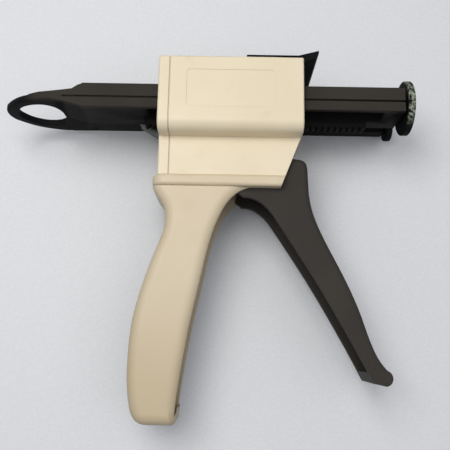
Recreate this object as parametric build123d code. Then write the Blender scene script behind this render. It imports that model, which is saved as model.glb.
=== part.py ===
from build123d import *
from math import atan2, cos, degrees, hypot, radians, sin
import os

# Dispensing gun for two-barrel impression cartridges, lying on its left side.
# While it is modelled, x runs forward from the rear face, y runs up from the axis of the
# discs, and z runs sideways from the mid-plane towards the right side of the gun.
# All sizes are in millimetres.

# Upper box of the housing
housing_length = 67.5
housing_height = 36.0
housing_width = 52.0
housing_wall = 2.6
lower_edge_radius = 5.5
top_edge_radius = 1.2
end_edge_radius = 0.9
cover_depth = 5.2
cover_tongue = 1.8
cover_tongue_wall = 1.4
cover_step = 2.0
seam_width = 0.5
seam_depth = 0.35
roof_step_length = 12.2
roof_step_drop = 0.4

# Bare recessed panel on the right side
panel_centre = (33.6, 1.9)
panel_length = 40.8
panel_height = 18.2
panel_corner = 1.4
panel_depth = 0.15

# Lower box that the trigger hangs in
lower_box_width = 31.0
lower_box_depth = 18.7
slant_top_setback = 0.5
slant_per_height = 0.388

# Seat of the cartridge flange at the muzzle
front_lip = 2.2
flange_slot = 4.2
bulkhead = 2.4
flange_half_width = 24.4
flange_slot_floor = -14.3
large_barrel_radius = 14.6
small_barrel_radius = 7.7

# Plunger: two arms, a toothed rib, a rear plate and a finger loop
rack_rear = 36.7
arm_front = 112.0
large_arm_centre = 9.3
large_arm_width = 22.4
large_arm_height = 11.6
small_arm_centre = -17.0
small_arm_width = 7.0
small_arm_height = 7.0
small_arm_rear = 6.0
arm_edge_radius = 0.5
plate_front = 21.0
plate_top = 1.4
plate_low = -2.6
groove_height = 1.0
groove_depth = 0.9
groove_drop = 0.9
groove_rear = 47.0
channel_wall = 2.6
channel_depth = 7.0
channel_rear = -6.0
channel_end_wall = 5.0
rib_inner = 2.4
rib_width = 4.0
rib_root_depth = 2.6
tooth_height = 1.9
tooth_pitch = 3.0
tooth_count = 36
tooth_crest_start = 0.4
tooth_crest_end = 0.9
first_tooth = -8.0
rib_lead = 1.0

# Finger loop, its outline and hole as shares of its length from the tip and of its half width
loop_tip = 77.6
loop_length = 33.6
loop_half_width = 21.0
loop_top = 0.4
loop_low = -2.8
loop_upper_radius = 0.7
loop_lower_radius = 1.3
loop_outline = [
    (1.0, 0.976), (0.79, 1.0), (0.6, 0.967), (0.455, 0.871), (0.24, 0.67), (0.107, 0.43), (0.0, 0.0),
]
loop_hole_outline = [
    (0.842, 0.19), (0.797, 0.467), (0.717, 0.61), (0.59, 0.662), (0.45, 0.619), (0.34, 0.524),
    (0.25, 0.376), (0.182, 0.152), (0.161, 0.0),
]

# Top of the neck, as shares of its length behind the beam and of half the large arm's height
neck_length = 25.3
neck_line = [(0.08, 0.81), (0.18, 0.5), (0.37, 0.38), (0.6, 0.25)]

# Discs on stems in front of the arms
large_disc_radius = 13.0
small_disc_radius = 6.8
large_stem_length = 4.8
small_stem_length = 2.9
disc_thickness = 3.2
disc_edge_radius = 0.5
disc_socket = 2.0
socket_room = 0.2
large_stem_radius = 5.2
small_stem_radius = 3.0
large_tenon_radius = 4.0
small_tenon_radius = 2.2

# Grip
grip_height = 107.0
grip_top_width = 31.4
grip_bottom_width = 27.0
grip_wall = 2.6
grip_floor = 3.0
grip_edge_radius = 5.0
grip_toe = 9.2
heel_length = 8.6
arch_end = 47.9
collar_height = 5.4
collar_width = 35.0
collar_rear = 2.4
collar_corner_radius = 6.0
collar_edge_radius = 1.6
ceiling_thickness = 3.0
ceiling_rear = 2.4
ceiling_front = 22.0

# Rear and front edges of the grip from under the collar, in percent of the grip's height
grip_rear_line = [(3.7, -11.9), (0.0, -27.8), (-5.4, -44.1), (-9.0, -60.7), (-9.8, -75.6), (-8.8, -90.1)]
grip_front_line = [(11.5, -92.4), (14.2, -72.5), (17.1, -56.1), (20.7, -39.1), (23.8, -25.0), (26.7, -16.0)]

# Trigger and its pin
trigger_length = 100.0
trigger_wall = 2.6
trigger_front_wall = 2.8
trigger_edge_radius = 2.3
trigger_pivot = (51.5, -31.0)
trigger_pin_radius = 2.5
trigger_squeeze = 30.0
blind_depth = 1.5

# Lines of the trigger's side view from its pivot, in percent of the trigger's length
trigger_shoulder = [(8.0, 4.6), (14.9, 3.8)]
trigger_corner = (19.1, -1.0)
trigger_front_line = [
    (19.6, -12.3), (21.9, -23.5), (28.3, -38.2), (36.7, -55.0), (42.8, -69.9), (48.0, -84.6),
]
trigger_toe = [(54.1, -93.6), (55.4, -97.2), (52.5, -99.9)]
trigger_sole = [(52.5, -99.9), (47.1, -98.5), (45.9, -96.3)]
trigger_rear_line = [(45.9, -96.3), (35.3, -76.5), (25.6, -59.6), (14.9, -42.3), (4.7, -26.8), (-0.5, -20.0)]
trigger_arm = [
    (-11.5, -15.2), (-14.6, -12.6), (-13.9, -8.6), (-6.6, 8.4), (-4.1, 14.4), (0.1, 13.6), (8.0, 4.6),
]
trigger_hollow_toe = [(50.4, -93.0), (49.4, -95.3), (44.6, -93.9)]
trigger_hollow_back = [(32.5, -93.0), (-31.5, -29.0), (-31.5, 21.0), (10.5, 21.0), (10.5, 1.0)]

# Drive pawl, carried at the top of the trigger
pawl_arm = 11.0
pawl_pin_radius = 1.5
pawl_hub_radius = 3.2
pawl_width = 4.0
pawl_drop = 0.8

# Release lever with its thumb tab, and the holding pawl beside it
release_pivot = (12.0, -18.5)
release_pin_radius = 1.25
release_hub_radius = 3.2
release_inner = -8.5
release_width = 6.0
release_thickness = 1.7
tab_tip = (-10.9, -5.6)
tab_knee = (5.0, -15.1)
tab_slot_top = -9.4
tab_slot_low = -17.6
holding_nose = (38.0, -10.7)
holding_depth = 5.0

# Cartridge latch on the roof
latch_width = 48.0
latch_thickness = 1.5
latch_pivot = (34.2, 16.1)
latch_pin_radius = 1.25
latch_knuckle_width = 24.0
latch_setback = 6.8
latch_lip_reach = 7.4
latch_lip_rise = 2.6
latch_lip_edge = 1.3
latch_lip_drop = 1.3
latch_edge_radius = 0.5
latch_boss_length = 5.0
latch_boss_half = 3.4
latch_boss_wall = 2.0
tongue_thickness = 1.2
tongue_depth = 3.5
tongue_half_width = 20.0

# Fasteners
screw_radius = 1.5
screw_head_radius = 2.8
screw_head_height = 2.0
screw_head_edge = 0.6
screw_slot = (3.6, 0.8, 0.8)
screw_length = 12.0
boss_radius = 3.6
boss_rib = 2.0
upper_screw_drop = 5.0
lower_screw_rise = 6.5
cover_screw_inset = 5.5
grip_screw_x = 12.0
grip_boss_height = 10.0
grip_bore_depth = 9.0

# Springs
spring_wire = 1.0
spring_turns = 3.5
spring_pitch = 1.35
spring_side_gap = 0.9
spring_short_leg = 5.0
spring_seat_rear = 17.0
pawl_spring_strip = 0.8
pawl_spring_width = 4.5
pawl_spring_side = 0.5
leaf_thickness = 0.8
leaf_width = 3.6
leaf_foot = 3.0
leaf_bend = (25.5, -27.0)
leaf_top = (28.0, -19.7)

# Clearances, and how far a cut or a joined piece reaches past the face that it meets
cut_past = 0.1
join_past = 0.5
slide_gap = 0.3
side_gap = 0.4
pin_gap = 0.06
seat_gap = 0.05
lid_gap = 0.1
spigot_gap = 0.15
screw_hole_gap = 0.2
pawl_side_gap = 0.3

# Heights and lengths that follow from the sizes above
half_height = housing_height / 2
half_width = housing_width / 2
lower_half = lower_box_width / 2
lower_inner = lower_half - housing_wall
collar_top = -half_height - lower_box_depth
collar_bottom = collar_top - collar_height
grip_bottom = collar_bottom - grip_height
slot_front = housing_length - front_lip
slot_rear = slot_front - flange_slot
bulkhead_rear = slot_rear - bulkhead
roof_inner = half_height - housing_wall
front_slant_x = housing_length - slant_top_setback
collar_front = front_slant_x + slant_per_height * (collar_bottom + half_height)
pawl_pin = (
    trigger_pivot[0] - pawl_arm * sin(radians(trigger_squeeze / 2)),
    trigger_pivot[1] + pawl_arm * cos(radians(trigger_squeeze / 2)),
)
rib_root = -large_arm_height / 2 - rib_root_depth
tooth_tip = rib_root - tooth_height
latch_underside = half_height + lid_gap
latch_top = latch_underside + latch_thickness
knuckle_radius = latch_top - latch_pivot[1]
large_disc_rear = arm_front + large_stem_length
small_disc_rear = arm_front + small_stem_length
disc_front = large_disc_rear + disc_thickness
boss_seat = cover_depth + 2.2
trigger_width = 2 * (lower_inner - side_gap)
cheek_inner = trigger_width / 2 - trigger_wall
spring_radius = trigger_pin_radius + 0.5 + spring_wire / 2
spring_leg_low = trigger_pivot[1] - spring_radius - spring_wire / 2
spring_side = -cheek_inner + spring_side_gap + spring_wire / 2
latch_tip = (housing_length + latch_lip_reach, latch_top + latch_lip_rise)

cover_screw_places = [
    (y, z) for y in (half_height - upper_screw_drop, lower_screw_rise - half_height)
    for z in (cover_screw_inset - half_width, half_width - cover_screw_inset)
]
grip_screw_z = lower_inner + slide_gap - boss_radius
grip_screw_places = [(grip_screw_x, -grip_screw_z), (grip_screw_x, grip_screw_z)]

# The row's origin is under the middle of the gun where it lies on its left side.
origin_shift = Pos((loop_tip - disc_front) / 2, -(grip_bottom + latch_tip[1]) / 2, half_width)


def block(x0, x1, y0, y1, z0, z1):
    return Pos((x0 + x1) / 2, (y0 + y1) / 2, (z0 + z1) / 2) * Box(x1 - x0, y1 - y0, z1 - z0)


def side_shape(face, z0, z1):
    return extrude(Pos(0, 0, z0) * face, amount=z1 - z0)


def front_shape(face, x0, x1):
    return extrude(Plane.YZ.offset(x0) * face, amount=x1 - x0)


def plan_shape(face, y0, y1):
    return extrude(Plane.XZ.offset(-y0) * face, amount=-(y1 - y0))


def cross_pin(centre, radius, z0, z1):
    return side_shape(Pos(centre[0], centre[1]) * Circle(radius), z0, z1)


def upright_pin(x, z, radius, y0, y1):
    return plan_shape(Pos(x, z) * Circle(radius), y0, y1)


def outline(points):
    return make_face(Polyline(*points, close=True))


def joined_face(curves):
    return make_face(Wire([e for c in curves for e in c.edges()]))


def percent_line(points, length, origin):
    return [(origin[0] + x * length / 100, origin[1] + y * length / 100) for x, y in points]


def rounded_bar(start, end, thickness):
    angle = degrees(atan2(end[1] - start[1], end[0] - start[0]))
    length = hypot(end[0] - start[0], end[1] - start[1])
    middle = ((start[0] + end[0]) / 2, (start[1] + end[1]) / 2)
    return Pos(*middle) * Rot(0, 0, angle) * SlotCenterToCenter(length, thickness)


# Housing: upper box, lower box, cartridge seat and bosses
def upper_outline(inset):
    shape = Rectangle(housing_height - 2 * inset, housing_width - 2 * inset)
    low = shape.vertices().group_by(Axis.X)[0]
    shape = fillet(low, max(lower_edge_radius - inset, 0.8))
    if inset < top_edge_radius:
        high = shape.vertices().group_by(Axis.X)[-1]
        shape = fillet(high, top_edge_radius - inset)
    return shape


def lower_outline(inset):
    height = lower_box_depth + housing_wall
    return Pos(collar_top + height / 2, 0) * Rectangle(height, lower_box_width - 2 * inset)


def lower_side(y_top, y_bottom):
    def slant(y):
        return front_slant_x + slant_per_height * (y + half_height)
    return outline([
        (cover_depth, y_top), (slant(y_top), y_top), (slant(y_bottom), y_bottom), (cover_depth, y_bottom),
    ])


def seam_groove(x0, x1):
    outer = front_shape(upper_outline(0) + lower_outline(0), x0, x1)
    return outer - front_shape(upper_outline(seam_depth) + lower_outline(seam_depth), x0, x1)


def arm_passage(x0, x1, gap):
    large = block(
        x0, x1,
        -large_arm_height / 2 - gap, large_arm_height / 2 + gap,
        large_arm_centre - large_arm_width / 2 - gap, large_arm_centre + large_arm_width / 2 + gap,
    )
    small = block(
        x0, x1,
        -small_arm_height / 2 - gap, small_arm_height / 2 + gap,
        small_arm_centre - small_arm_width / 2 - gap, small_arm_centre + small_arm_width / 2 + gap,
    )
    rib = block(x0, x1, tooth_tip - gap, 0, rib_inner - gap, rib_inner + rib_width + gap)
    return large + small + rib


def barrel_opening(radius, z_centre):
    circle = Pos(0, z_centre) * Circle(radius)
    way_out = Pos(half_height, z_centre) * Rectangle(housing_height, 2 * radius)
    return circle + way_out


def build_housing_shell():
    shell = front_shape(upper_outline(0), cover_depth, housing_length)
    shell = fillet(shell.edges().group_by(Axis.X)[-1], end_edge_radius)
    shell += side_shape(lower_side(-half_height + housing_wall / 2, collar_top), -lower_half, lower_half)
    shell -= front_shape(upper_outline(housing_wall), cover_depth, bulkhead_rear)
    # One cavity with the lower box, which is open below, behind and in front
    shell -= side_shape(lower_side(-half_height, collar_top), -lower_inner, lower_inner)
    shell -= block(
        cover_depth, bulkhead_rear, -half_height - cut_past, -roof_inner + cut_past, -lower_inner, lower_inner,
    )
    # Flange slot, open above, and the barrels' way through the lip
    shell -= block(
        slot_rear, slot_front, flange_slot_floor, half_height, -flange_half_width, flange_half_width,
    )
    openings = barrel_opening(large_barrel_radius, large_arm_centre)
    openings += barrel_opening(small_barrel_radius, small_arm_centre)
    shell -= front_shape(openings, slot_front, housing_length)
    shell -= arm_passage(bulkhead_rear, slot_rear, slide_gap)
    # The roof is a little lower under the front of the latch
    step_start = housing_length - roof_step_length
    shell -= block(
        step_start, housing_length, half_height - roof_step_drop, half_height, -half_width, half_width,
    )
    # Bosses for the cover screws and the grip screws
    boss_end = cover_depth + screw_length
    rib_end = half_width - housing_wall / 2
    for y, z in cover_screw_places:
        shell += front_shape(Pos(y, z) * Circle(boss_radius), boss_seat, boss_end)
        z_wall = rib_end if z > 0 else -rib_end
        shell += block(
            boss_seat, boss_end, y - boss_rib / 2, y + boss_rib / 2, min(z, z_wall), max(z, z_wall),
        )
    for x, z in grip_screw_places:
        shell += upright_pin(x, z, boss_radius, collar_top, collar_top + grip_boss_height)
    for y, z in cover_screw_places:
        shell -= front_shape(Pos(y, z) * Circle(screw_radius + seat_gap), cover_depth, boss_end)
    for x, z in grip_screw_places:
        shell -= upright_pin(x, z, screw_radius + seat_gap, collar_top, collar_top + grip_bore_depth)
    # Blind bores for the trigger pin and the release pin
    bore_end = lower_inner + blind_depth
    shell -= cross_pin(trigger_pivot, trigger_pin_radius + seat_gap, -bore_end, bore_end)
    shell -= cross_pin(release_pivot, release_pin_radius + seat_gap, -bore_end, bore_end)
    # Hinge of the latch: a pocket through the roof with a boss at each end
    pocket = knuckle_radius + slide_gap
    pocket_half = latch_knuckle_width / 2 + slide_gap
    px, py = latch_pivot
    boss_low = py - latch_pin_radius - latch_boss_wall
    for side in (-1, 1):
        inner = side * pocket_half
        outer = side * (pocket_half + latch_boss_length)
        shell += block(
            px - latch_boss_half, px + latch_boss_half, boss_low, roof_inner + join_past,
            min(inner, outer), max(inner, outer),
        )
    shell -= block(px - pocket, px + pocket, roof_inner - 1, half_height, -pocket_half, pocket_half)
    pin_end = pocket_half + latch_boss_length - 1
    shell -= cross_pin(latch_pivot, latch_pin_radius + seat_gap, -pin_end, pin_end)
    panel = Pos(*panel_centre) * RectangleRounded(panel_length, panel_height, panel_corner)
    shell -= side_shape(panel, half_width - panel_depth, half_width)
    shell -= seam_groove(cover_depth, cover_depth + seam_width / 2)
    return shell


def build_rear_cover():
    cover = front_shape(upper_outline(0) + lower_outline(0), 0, cover_depth)
    cover = fillet(cover.edges().filter_by(Plane.YZ).group_by(Axis.X)[0], end_edge_radius)
    # Hollow inside, with a spigot that locates it in the shell
    hollow = front_shape(upper_outline(housing_wall), housing_wall, cover_depth)
    inner_low = Pos((collar_top - half_height) / 2, 0) * Rectangle(lower_box_depth, 2 * lower_inner)
    hollow += front_shape(inner_low, housing_wall, cover_depth)
    cover -= hollow
    tongue_end = cover_depth + cover_tongue
    spigot_inset = housing_wall + spigot_gap
    spigot = front_shape(upper_outline(spigot_inset), housing_wall, tongue_end)
    spigot -= front_shape(upper_outline(spigot_inset + cover_tongue_wall), housing_wall, tongue_end)
    spigot -= block(
        cover_depth, tongue_end + 1, -half_height, -roof_inner + cover_step,
        -lower_inner - slide_gap, lower_inner + slide_gap,
    )
    cover += spigot
    cover += block(
        housing_wall, cover_depth, -roof_inner, -roof_inner + cover_step,
        -half_width + cover_step, -lower_inner,
    )
    within = front_shape(upper_outline(spigot_inset), housing_wall, boss_seat)
    for y, z in cover_screw_places:
        cover += front_shape(Pos(y, z) * Circle(boss_radius), housing_wall, boss_seat) & within
    # Passage of the plunger, slot of the release tab, counterbored screw holes
    through = boss_seat + 1
    cover -= block(
        -1, through, plate_low - slide_gap, plate_top + slide_gap,
        small_arm_centre - small_arm_width / 2 - slide_gap, large_arm_centre,
    )
    cover -= arm_passage(-1, through, slide_gap)
    cover -= block(
        -1, through, tab_slot_low, tab_slot_top,
        release_inner - side_gap, release_inner + release_width + side_gap,
    )
    screw_seat = screw_head_height + slide_gap
    for y, z in cover_screw_places:
        cover -= front_shape(Pos(y, z) * Circle(screw_radius + screw_hole_gap), -1, through)
        cover -= front_shape(Pos(y, z) * Circle(screw_head_radius + screw_hole_gap), -1, screw_seat)
    cover -= seam_groove(cover_depth - seam_width / 2, cover_depth)
    return cover


def build_screw(length):
    head = Cylinder(screw_head_radius, screw_head_height, align=(Align.CENTER, Align.CENTER, Align.MAX))
    head = fillet(head.edges().group_by(Axis.Z)[0], screw_head_edge)
    shank = Cylinder(screw_radius, length, align=(Align.CENTER, Align.CENTER, Align.MIN))
    shank = chamfer(shank.edges().group_by(Axis.Z)[-1], screw_radius / 3)
    slot = Pos(0, 0, -screw_head_height) * Box(screw_slot[0], screw_slot[1], 2 * screw_slot[2])
    return head + shank - slot - Rot(0, 0, 90) * slot


def build_cover_screws():
    seat = screw_head_height + slide_gap
    screw = build_screw(cover_depth + screw_length - seat - 1.0)
    return [Pos(seat, y, z) * Rot(0, 90, 0) * screw for y, z in cover_screw_places]


def build_grip_screws():
    screw = build_screw(ceiling_thickness + grip_bore_depth - 1.0)
    return [
        Pos(x, collar_top - ceiling_thickness, z) * Rot(-90, 0, 0) * screw for x, z in grip_screw_places
    ]


# Grip: a channel that is open at the front, under a collar that carries the housing
def grip_side(inset):
    rear = [(x + inset, y) for x, y in percent_line(grip_rear_line, grip_height, (0, collar_bottom))]
    front = percent_line(grip_front_line, grip_height, (0, collar_bottom))
    low = grip_bottom + (grip_floor if inset else 0)
    heel = (rear[-1][0] + heel_length, low)
    toe = (grip_toe, low)
    top = (inset - collar_rear, collar_bottom)
    arch_top = (arch_end, collar_bottom)
    return joined_face([
        Spline(*rear, tangents=[(0.1, -1), (0.16, -1)]),
        Spline(rear[-1], heel, tangents=[(0.16, -1), (1, 0)]),
        Line(heel, toe),
        Spline(toe, front[0], tangents=[(1, 0), (0.1, 1)]),
        Spline(*front, tangents=[(0.1, 1), (0.4, 1)]),
        Spline(front[-1], arch_top, tangents=[(0.4, 1), (1, 0.03)]),
        Line(arch_top, top),
        Spline(top, rear[0], tangents=[(0.35, -1), (0.1, -1)]),
    ])


def grip_front_view(inset, low):
    top_half = grip_top_width / 2 - inset
    low_half = grip_bottom_width / 2 - inset
    slope = (top_half - low_half) / grip_height
    half_at_low = low_half + slope * (low - grip_bottom)
    face = outline([
        (low, -half_at_low), (low, half_at_low), (collar_bottom, top_half), (collar_bottom, -top_half),
    ])
    return front_shape(face, -grip_height, grip_height)


def build_grip_shell():
    outer = side_shape(grip_side(0), -half_width, half_width) & grip_front_view(0, grip_bottom)
    rear_edges = [
        e for e in outer.edges()
        if abs(e.center().Z) > grip_bottom_width * 0.44 and e.center().X < heel_length * 0.7
        and e.length > heel_length and e.center().Y < collar_bottom - grip_floor
    ]
    outer = fillet(rear_edges, grip_edge_radius)
    # Collar, wider than the grip, with a rounded rear
    collar_top_front = front_slant_x + slant_per_height * (collar_top + half_height)
    collar_side = outline([
        (-collar_rear, collar_bottom), (collar_front, collar_bottom), (collar_top_front, collar_top),
        (-collar_rear, collar_top),
    ])
    collar = side_shape(collar_side, -collar_width / 2, collar_width / 2)
    corners = [e for e in collar.edges().filter_by(Axis.Y) if e.center().X < 0]
    collar = fillet(corners, collar_corner_radius)
    rims = [
        e for e in collar.edges()
        if min(abs(e.center().Y - collar_bottom), abs(e.center().Y - collar_top)) < 0.01
        and e.center().X < collar_front - collar_height
    ]
    collar = fillet(rims, collar_edge_radius)
    grip = outer + collar
    # Channel, open in front, and the open top that the trigger reaches through
    hollow_low = grip_bottom + grip_floor
    inner = side_shape(grip_side(grip_wall), -half_width, half_width)
    past_front = collar_front + collar_width
    inner += block(heel_length + grip_toe, past_front, hollow_low, collar_bottom, -half_width, half_width)
    grip -= inner & grip_front_view(grip_wall, hollow_low)
    grip -= block(ceiling_front, past_front, collar_bottom - join_past, collar_top, -lower_inner, lower_inner)
    grip -= block(
        ceiling_rear, ceiling_front + 1, collar_bottom - join_past, collar_top - ceiling_thickness,
        -lower_inner, lower_inner,
    )
    for x, z in grip_screw_places:
        hole_low = collar_top - 2 * ceiling_thickness
        grip -= upright_pin(x, z, screw_radius + screw_hole_gap, hole_low, collar_top)
    # Small seat for the long leg of the return spring
    grip += block(
        spring_seat_rear, ceiling_front, collar_top, spring_leg_low - slide_gap,
        spring_side - 1.2 * spring_wire, spring_side + 1.2 * spring_wire,
    )
    return grip


# Springs
def build_coil(radius, turns, pitch, z_start):
    path = Pos(0, 0, z_start) * Helix(pitch, pitch * turns, radius)
    section = Plane(origin=path @ 0, z_dir=path % 0) * RegularPolygon(spring_wire / 2, 8)
    return sweep(section, path=path, is_frenet=True)


def straight_leg(start, direction, length):
    plane = Plane(origin=start, z_dir=direction)
    return extrude(plane * RegularPolygon(spring_wire / 2, 8), amount=length)


def build_trigger_return_spring():
    # The helix starts on the +x side, so it is turned to start below the pin
    pitch = spring_wire * spring_pitch
    coil = Rot(0, 0, -90) * build_coil(spring_radius, spring_turns, pitch, spring_side)
    spring = coil + straight_leg(
        (0, -spring_radius, spring_side), (-1, 0, 0), trigger_pivot[0] - spring_seat_rear - 1.0,
    )
    side_end = spring_side + pitch * spring_turns
    spring += straight_leg((0, spring_radius, side_end), (1, 0, 0), spring_short_leg)
    return Pos(trigger_pivot[0], trigger_pivot[1], 0) * spring


# Trigger: a channel with an open back, hung on its pin
def trigger_line(points):
    return percent_line(points, trigger_length, trigger_pivot)


def trigger_front_curves():
    shoulder_end, corner, *front, toe_start = trigger_line(
        [trigger_shoulder[-1], trigger_corner, *trigger_front_line, trigger_toe[0]]
    )
    return [
        Spline(shoulder_end, corner, tangents=[(1, -0.1), (0.03, -1)]),
        Line(corner, front[0]),
        Spline(*front, tangents=[(0.08, -1), (0.42, -1)]),
        Spline(front[-1], toe_start, tangents=[(0.42, -1), (1, -1)]),
    ]


def trigger_outer_face():
    rear = trigger_line(trigger_rear_line)
    arm = trigger_line(trigger_arm)
    return joined_face([
        Polyline(*trigger_line(trigger_shoulder)),
        *trigger_front_curves(),
        ThreePointArc(*trigger_line(trigger_toe)),
        Polyline(*trigger_line(trigger_sole)),
        Spline(*rear, tangents=[(-0.5, 1), (-0.72, 0.7)]),
        Spline(rear[-1], arm[0], tangents=[(-0.72, 0.7), (-1, 0)]),
        Polyline(*arm),
    ])


def trigger_inner_face():
    inset = trigger_front_wall
    corner = trigger_line([trigger_corner])[0]
    front = trigger_line(trigger_front_line)
    start = (front[0][0] - inset, front[0][1])
    inner = [(x - inset * 1.12, y) for x, y in front[1:]]
    frame = [inner[-1], *trigger_line(trigger_hollow_toe + trigger_hollow_back)]
    frame += [(corner[0] - inset, corner[1]), start]
    return joined_face([Spline(start, *inner, tangents=[(0.05, -1), (0.42, -1)]), Polyline(*frame)])


def build_trigger():
    half = trigger_width / 2
    trigger = side_shape(trigger_outer_face(), -half, half)
    middles = [curve.center() for curve in trigger_front_curves()]
    rim = [
        e for e in trigger.edges()
        if abs(abs(e.center().Z) - half) < 0.01
        and min(hypot(e.center().X - m.X, e.center().Y - m.Y) for m in middles) < 0.01
    ]
    trigger = fillet(rim, min(trigger_edge_radius, 0.9 * trigger_wall))
    trigger -= side_shape(trigger_inner_face(), -cheek_inner, cheek_inner)
    trigger -= cross_pin(trigger_pivot, trigger_pin_radius + pin_gap, -half, half)
    trigger -= cross_pin(pawl_pin, pawl_pin_radius + seat_gap, -half, half)
    return trigger


def build_trigger_pivot_pin():
    reach = lower_inner + blind_depth - 0.1
    pin = cross_pin(trigger_pivot, trigger_pin_radius, -reach, reach)
    return chamfer(pin.edges().filter_by(GeomType.CIRCLE), 0.3)


def build_drive_pawl():
    # The hub fills the space between the cheeks; the nose stands under the toothed rib.
    inner_half = cheek_inner - slide_gap
    hub = cross_pin(pawl_pin, pawl_hub_radius, -inner_half, inner_half)
    nose_top = tooth_tip - pawl_drop
    x, y = pawl_pin
    blade = outline([
        (x - 2.2, y), (x + 2.6, y + 1.0), (x + 3.4, nose_top - 2.2), (x + 2.2, nose_top),
        (x + 0.4, nose_top - 2.0),
    ])
    z0 = rib_inner + (rib_width - pawl_width) / 2
    pawl = hub + side_shape(blade, z0, z0 + pawl_width)
    pawl -= cross_pin(pawl_pin, pawl_pin_radius + pin_gap, -inner_half, inner_half)
    return pawl


def build_pawl_spring():
    # Bent strip that grips the trigger pin and bears under the round hub of the pawl
    inner = trigger_pin_radius + pin_gap
    ring = Pos(*trigger_pivot) * (Circle(inner + pawl_spring_strip) - Circle(inner))
    foot = (trigger_pivot[0] - 1.2, trigger_pivot[1] + inner + pawl_spring_strip / 2)
    reach = pawl_hub_radius + slide_gap + pawl_spring_strip / 2
    top = (pawl_pin[0] + 1.6, pawl_pin[1] - reach)
    strip = ring + rounded_bar(foot, top, pawl_spring_strip)
    strip += rounded_bar(top, (pawl_pin[0] - 1.8, pawl_pin[1] - reach), pawl_spring_strip)
    strip -= Pos(*trigger_pivot) * Circle(inner)
    return side_shape(strip, pawl_spring_side, pawl_spring_side + pawl_spring_width)


def build_pawl_pin():
    reach = trigger_width / 2 - 0.2
    pin = cross_pin(pawl_pin, pawl_pin_radius, -reach, reach)
    return chamfer(pin.edges().filter_by(GeomType.CIRCLE), 0.25)


# Release lever with its thumb tab, and the holding pawl beside it on the same pin
def build_release_lever():
    z0 = release_inner
    hub_end = rib_inner - 0.5
    lever = cross_pin(release_pivot, release_hub_radius, z0, hub_end)
    arm = rounded_bar(tab_tip, tab_knee, release_thickness)
    arm += rounded_bar(tab_knee, release_pivot, release_thickness + 0.6)
    lever += side_shape(arm, z0, z0 + release_width)
    lever -= cross_pin(release_pivot, release_pin_radius + pin_gap, z0, hub_end)
    return lever


def build_holding_pawl():
    px, py = release_pivot
    nx, ny = holding_nose
    z0 = rib_inner - pawl_side_gap
    z1 = rib_inner + rib_width + pawl_side_gap
    arm = outline([
        (px - 0.5, py + 3.0), (nx - 4.5, ny - 2.6), (nx - 2.4, ny - 2.0), (nx, ny),
        (nx + 0.3, ny - holding_depth + 1.6), (nx - 2.0, ny - holding_depth - 0.4), (px, py - 3.0),
    ])
    pawl = cross_pin(release_pivot, release_hub_radius, z0, z1) + side_shape(arm, z0, z1)
    pawl -= cross_pin(release_pivot, release_pin_radius + pin_gap, z0, z1)
    return pawl


def build_release_pin():
    reach = lower_inner + blind_depth - 0.1
    pin = cross_pin(release_pivot, release_pin_radius, -reach, reach)
    return chamfer(pin.edges().filter_by(GeomType.CIRCLE), 0.2)


def build_release_spring():
    # Leaf that stands on the front of the ceiling and bears under the holding pawl
    foot_height = collar_top + leaf_thickness / 2
    corner = (ceiling_front - 1.0, foot_height)
    leaf = rounded_bar((corner[0] - leaf_foot, foot_height), corner, leaf_thickness)
    leaf += rounded_bar(corner, leaf_bend, leaf_thickness)
    leaf += rounded_bar(leaf_bend, leaf_top, leaf_thickness)
    z0 = rib_inner + (rib_width - leaf_width) / 2
    return side_shape(leaf, z0, z0 + leaf_width)


# Latch over the flange slot
def build_cartridge_latch():
    half = latch_width / 2
    px, py = latch_pivot
    plate = block(px + latch_setback, slot_front + 1, latch_underside, latch_top, -half, half)
    back = housing_length + slide_gap
    lip_side = outline([
        (slot_front, latch_top), (slot_front, latch_underside), (back, latch_underside),
        (back, latch_underside - front_lip + 0.2),
        (latch_tip[0] - latch_lip_edge, latch_top - latch_thickness / 1.5),
        (latch_tip[0] - 0.1, latch_tip[1] - latch_lip_drop), latch_tip,
    ])
    latch = plate + side_shape(lip_side, -half, half)
    corners = [
        e for e in latch.edges()
        if e.center().X > latch_tip[0] - 1.2 and abs(abs(e.center().Z) - half) < 0.01 and e.length < 2
    ]
    latch = fillet(corners, latch_edge_radius)
    # Knuckle in the middle of the rear edge
    knuckle_half = latch_knuckle_width / 2
    latch += cross_pin(latch_pivot, knuckle_radius, -knuckle_half, knuckle_half)
    latch += block(px, px + latch_setback + 1, latch_underside, latch_top, -knuckle_half, knuckle_half)
    # Tongue that keeps the cartridge flange down in its slot
    tongue_front = slot_front - 0.5
    latch += block(
        tongue_front - tongue_thickness, tongue_front, latch_underside - tongue_depth, latch_underside,
        -tongue_half_width, tongue_half_width,
    )
    latch -= cross_pin(latch_pivot, latch_pin_radius + pin_gap, -half, half)
    return latch


def build_latch_pin():
    reach = latch_knuckle_width / 2 + slide_gap + latch_boss_length - 1.2
    pin = cross_pin(latch_pivot, latch_pin_radius, -reach, reach)
    return chamfer(pin.edges().filter_by(GeomType.CIRCLE), 0.2)


# Plunger
def tooth_profile():
    points = [(first_tooth - rib_lead, -large_arm_height / 2), (first_tooth, rib_root)]
    for i in range(tooth_count):
        x = first_tooth + i * tooth_pitch
        points.append((x + tooth_crest_start, tooth_tip))
        points.append((x + tooth_crest_end, tooth_tip))
        points.append((x + tooth_pitch, rib_root))
    points.append((first_tooth + tooth_count * tooth_pitch, -large_arm_height / 2))
    return outline(points)


def loop_line(shares):
    return [(a * loop_length - loop_tip, b * loop_half_width) for a, b in shares]


def loop_plan():
    near = loop_line(loop_outline)
    far = [(x, -z) for x, z in near]
    return joined_face([
        Spline(*near, tangents=[(-1, 0), (0, -1)]),
        Spline(*far, tangents=[(-1, 0), (0, 1)]),
        Polyline(near[0], (-rack_rear, near[0][1]), (-rack_rear, -near[0][1]), far[0]),
    ])


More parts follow.
